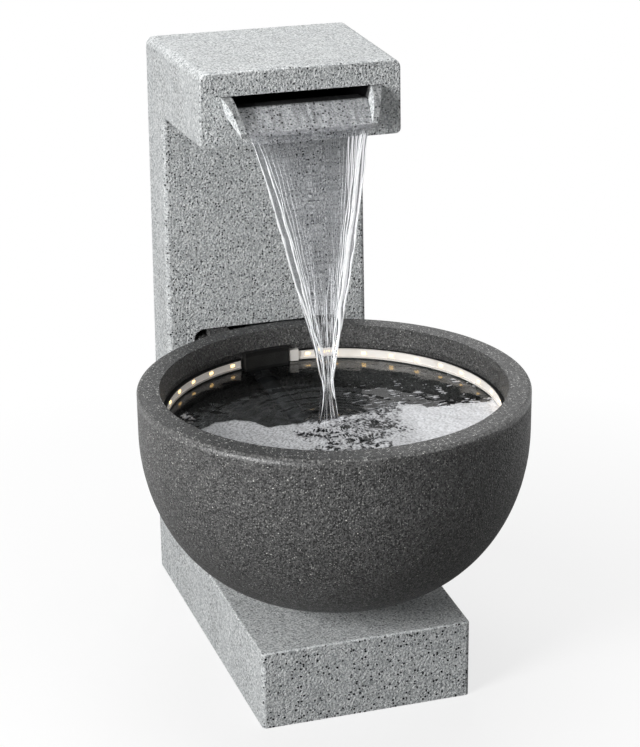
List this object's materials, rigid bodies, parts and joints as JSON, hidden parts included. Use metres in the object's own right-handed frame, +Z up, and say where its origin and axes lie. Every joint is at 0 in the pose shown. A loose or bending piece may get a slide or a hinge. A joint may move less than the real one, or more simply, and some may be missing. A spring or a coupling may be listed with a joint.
{
  "type": "garden fountain",
  "caption": "Free-standing garden fountain: C-shaped cast-stone frame with a spout in its head pours a sheet of water into a dark lit bowl with a recirculating pump",
  "frame": {"origin": "on the floor, under the middle of the outline", "axes": "+Z up; -Y is the front, where the bowl is; +X is to the right of someone who faces the front"},
  "size_m": [0.43, 0.546, 0.675],
  "materials": {
    "grey_cast_stone": "pale grey granite-look cast stone, matt, black and white specks",
    "dark_cast_stone": "anthracite granite-look cast stone, matt, fine pale specks",
    "black_abs": "moulded black ABS, fine texture",
    "grey_abs": "moulded grey ABS, fine texture",
    "black_rubber": "moulded rubber",
    "pvc_hose": "extruded flexible PVC",
    "stainless_steel": "rolled stainless band",
    "white_silicone": "translucent white silicone extrusion",
    "white_circuit": "white solder resist on a flexible circuit",
    "warm_lamp": "lit warm-white lamp",
    "white_ceramic": "ground ceramic",
    "dark_ferrite": "plastic-bonded ferrite",
    "water": "clear moving water"
  },
  "bodies": {
    "frame": {"fountain_body": "grey_cast_stone", "spout_tray": "grey_cast_stone", "weir_trough": "black_abs", "trough_inlet": "black_abs", "inlet_seal": "black_rubber", "inlet_nut": "black_abs", "riser_hose": "pvc_hose", "riser_clamp": "stainless_steel", "cable_gland": "black_rubber", "water_sheet": "water"},
    "rear_cover": {"rear_cover": "grey_abs"},
    "bowl": {"bowl": "dark_cast_stone", "bulkhead_fitting": "black_abs", "bulkhead_seal": "black_rubber", "bulkhead_nut": "black_abs", "led_strip": "white_silicone", "led_ribbon": "white_circuit", "led_chips": "warm_lamp", "strip_end_cap": "white_silicone", "cable_cover": "black_abs", "cable_grommet": "black_rubber", "pump_housing": "black_abs", "volute_cover": "black_abs", "pump_strainer": "black_abs", "impeller_shaft": "white_ceramic", "shaft_bushes": "black_rubber", "suction_cups": "black_rubber", "outlet_nozzle": "black_abs", "pump_hose": "pvc_hose", "hose_clamps": "stainless_steel", "water_pool": "water"},
    "impeller": {"impeller": "dark_ferrite"},
    "flow_knob": {"flow_knob": "grey_abs"}
  },
  "joints": [
    {"name": "bowl_pull", "type": "slide", "parent": "frame", "child": "bowl", "axis": [0, -1, 0], "range_m": [0, 0.07]},
    {"name": "rear_cover_pull", "type": "slide", "parent": "frame", "child": "rear_cover", "axis": [0, 1, 0], "range_m": [0, 0.04]},
    {"name": "impeller_spin", "type": "hinge", "parent": "bowl", "child": "impeller", "pos_m": [-0.03, -0.07, 0.168], "axis": [0, 1, 0], "continuous": true},
    {"name": "flow_knob_turn", "type": "hinge", "parent": "bowl", "child": "flow_knob", "pos_m": [-0.03, -0.114, 0.168], "axis": [0, -1, 0], "range_deg": [0, 180]}
  ]
}
